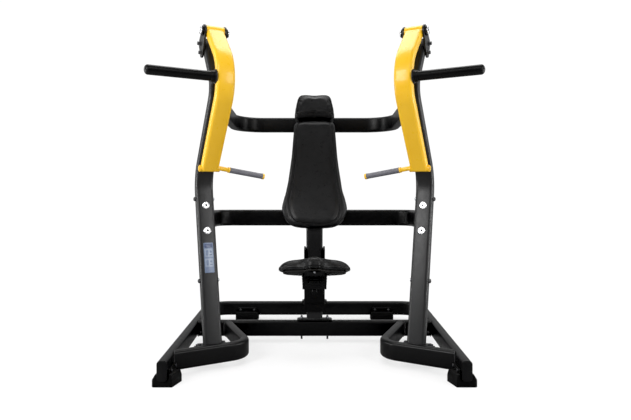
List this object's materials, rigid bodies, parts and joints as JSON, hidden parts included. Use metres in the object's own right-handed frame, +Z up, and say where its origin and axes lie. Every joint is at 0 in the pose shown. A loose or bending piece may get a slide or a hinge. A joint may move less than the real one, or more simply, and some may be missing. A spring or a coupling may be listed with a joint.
{
  "type": "plate-loaded chest press machine",
  "caption": "Plate-loaded chest press with two independent hinged lever arms, inward hand grips, outboard plate horns, a tapered back pad with headrest and a height-adjustable saddle seat.",
  "frame": {"origin": "on the floor, at the centre of the plan box, on the centre plane", "axes": "+X towards the user's left hand as drawn, -Y towards the open front where the user faces, +Z up"},
  "size_m": [1.6206, 1.5838, 1.826],
  "materials": {
    "powder_black": "fine-texture satin powder coat, near black",
    "powder_charcoal": "satin powder coat, dark charcoal",
    "powder_yellow": "glossy golden-yellow powder coat",
    "zinc": "zinc-plated steel",
    "silver_caps": "bright satin caps",
    "dark_bolts": "black-oxide fasteners",
    "rubber_black": "moulded rubber",
    "grip_rubber": "mid-grey ribbed rubber grip",
    "plastic_black": "moulded black plastic",
    "liner_white": "low-friction liner",
    "board": "black-stained plywood",
    "vinyl_black": "fine-grain black upholstery vinyl",
    "placard_blue": "pale blue-grey printed placard"
  },
  "bodies": {
    "frame": {"base_frame": "powder_black", "front_crossmember": "powder_black", "loop_tube_left": "powder_black", "loop_tube_right": "powder_black", "rail_end_caps": "plastic_black", "front_foot_left": "rubber_black", "front_foot_right": "rubber_black", "rear_feet": "rubber_black", "rear_foot_brackets": "powder_black", "corner_plates": "powder_black", "upright_shelves": "powder_black", "upright_left": "powder_charcoal", "upright_right": "powder_charcoal", "upright_foot_plates": "powder_charcoal", "upright_end_caps": "plastic_black", "lower_crossbar": "powder_black", "upper_crossbar": "powder_black", "crossbar_flanges": "powder_charcoal", "spine_post": "powder_charcoal", "spine_flange": "powder_black", "spine_brackets": "powder_black", "rear_strut": "powder_charcoal", "rear_strut_flange": "powder_black", "pivot_plates_left": "powder_charcoal", "pivot_plates_right": "powder_charcoal", "pivot_shafts": "zinc", "pivot_collars": "powder_black", "pivot_caps": "silver_caps", "arm_bumpers": "rubber_black", "back_board": "board", "back_pad": "vinyl_black", "headrest_pad": "vinyl_black", "crossbar_bolt_caps": "silver_caps", "frame_bolts": "dark_bolts", "frame_nuts": "zinc", "placard": "placard_blue"},
    "left_arm": {"arm_left": "powder_yellow", "pivot_bearings_left": "zinc", "weight_horn_left": "powder_black", "horn_end_caps_left": "plastic_black", "handle_left": "powder_yellow", "grip_left": "grip_rubber"},
    "right_arm": {"arm_right": "powder_yellow", "pivot_bearings_right": "zinc", "weight_horn_right": "powder_black", "horn_end_caps_right": "plastic_black", "handle_right": "powder_yellow", "grip_right": "grip_rubber"},
    "seat": {"seat_carriage": "powder_black", "carriage_liners": "liner_white", "seat_bracket_cover": "plastic_black", "seat_board": "board", "seat_pad": "vinyl_black", "pin_housing": "zinc", "pin_spring": "zinc", "seat_bolts": "zinc"},
    "pull_pin": {"pull_pin": "zinc", "pull_knob": "plastic_black"}
  },
  "joints": [
    {"name": "left_arm_pivot", "type": "hinge", "parent": "frame", "child": "left_arm", "pos_m": [-0.53511, -0.43523, 1.792], "axis": [-0.891, -0.454, 0], "range_deg": [0, 45]},
    {"name": "right_arm_pivot", "type": "hinge", "parent": "frame", "child": "right_arm", "pos_m": [0.53511, -0.43523, 1.792], "axis": [-0.891, 0.454, 0], "range_deg": [0, 45]},
    {"name": "seat_height", "type": "slide", "parent": "frame", "child": "seat", "axis": [0, -0.2419, 0.9703], "range_m": [-0.05, 0.1]},
    {"name": "pin_pull", "type": "slide", "parent": "seat", "child": "pull_pin", "axis": [0, -0.9703, -0.2419], "range_m": [0, 0.012]}
  ]
}
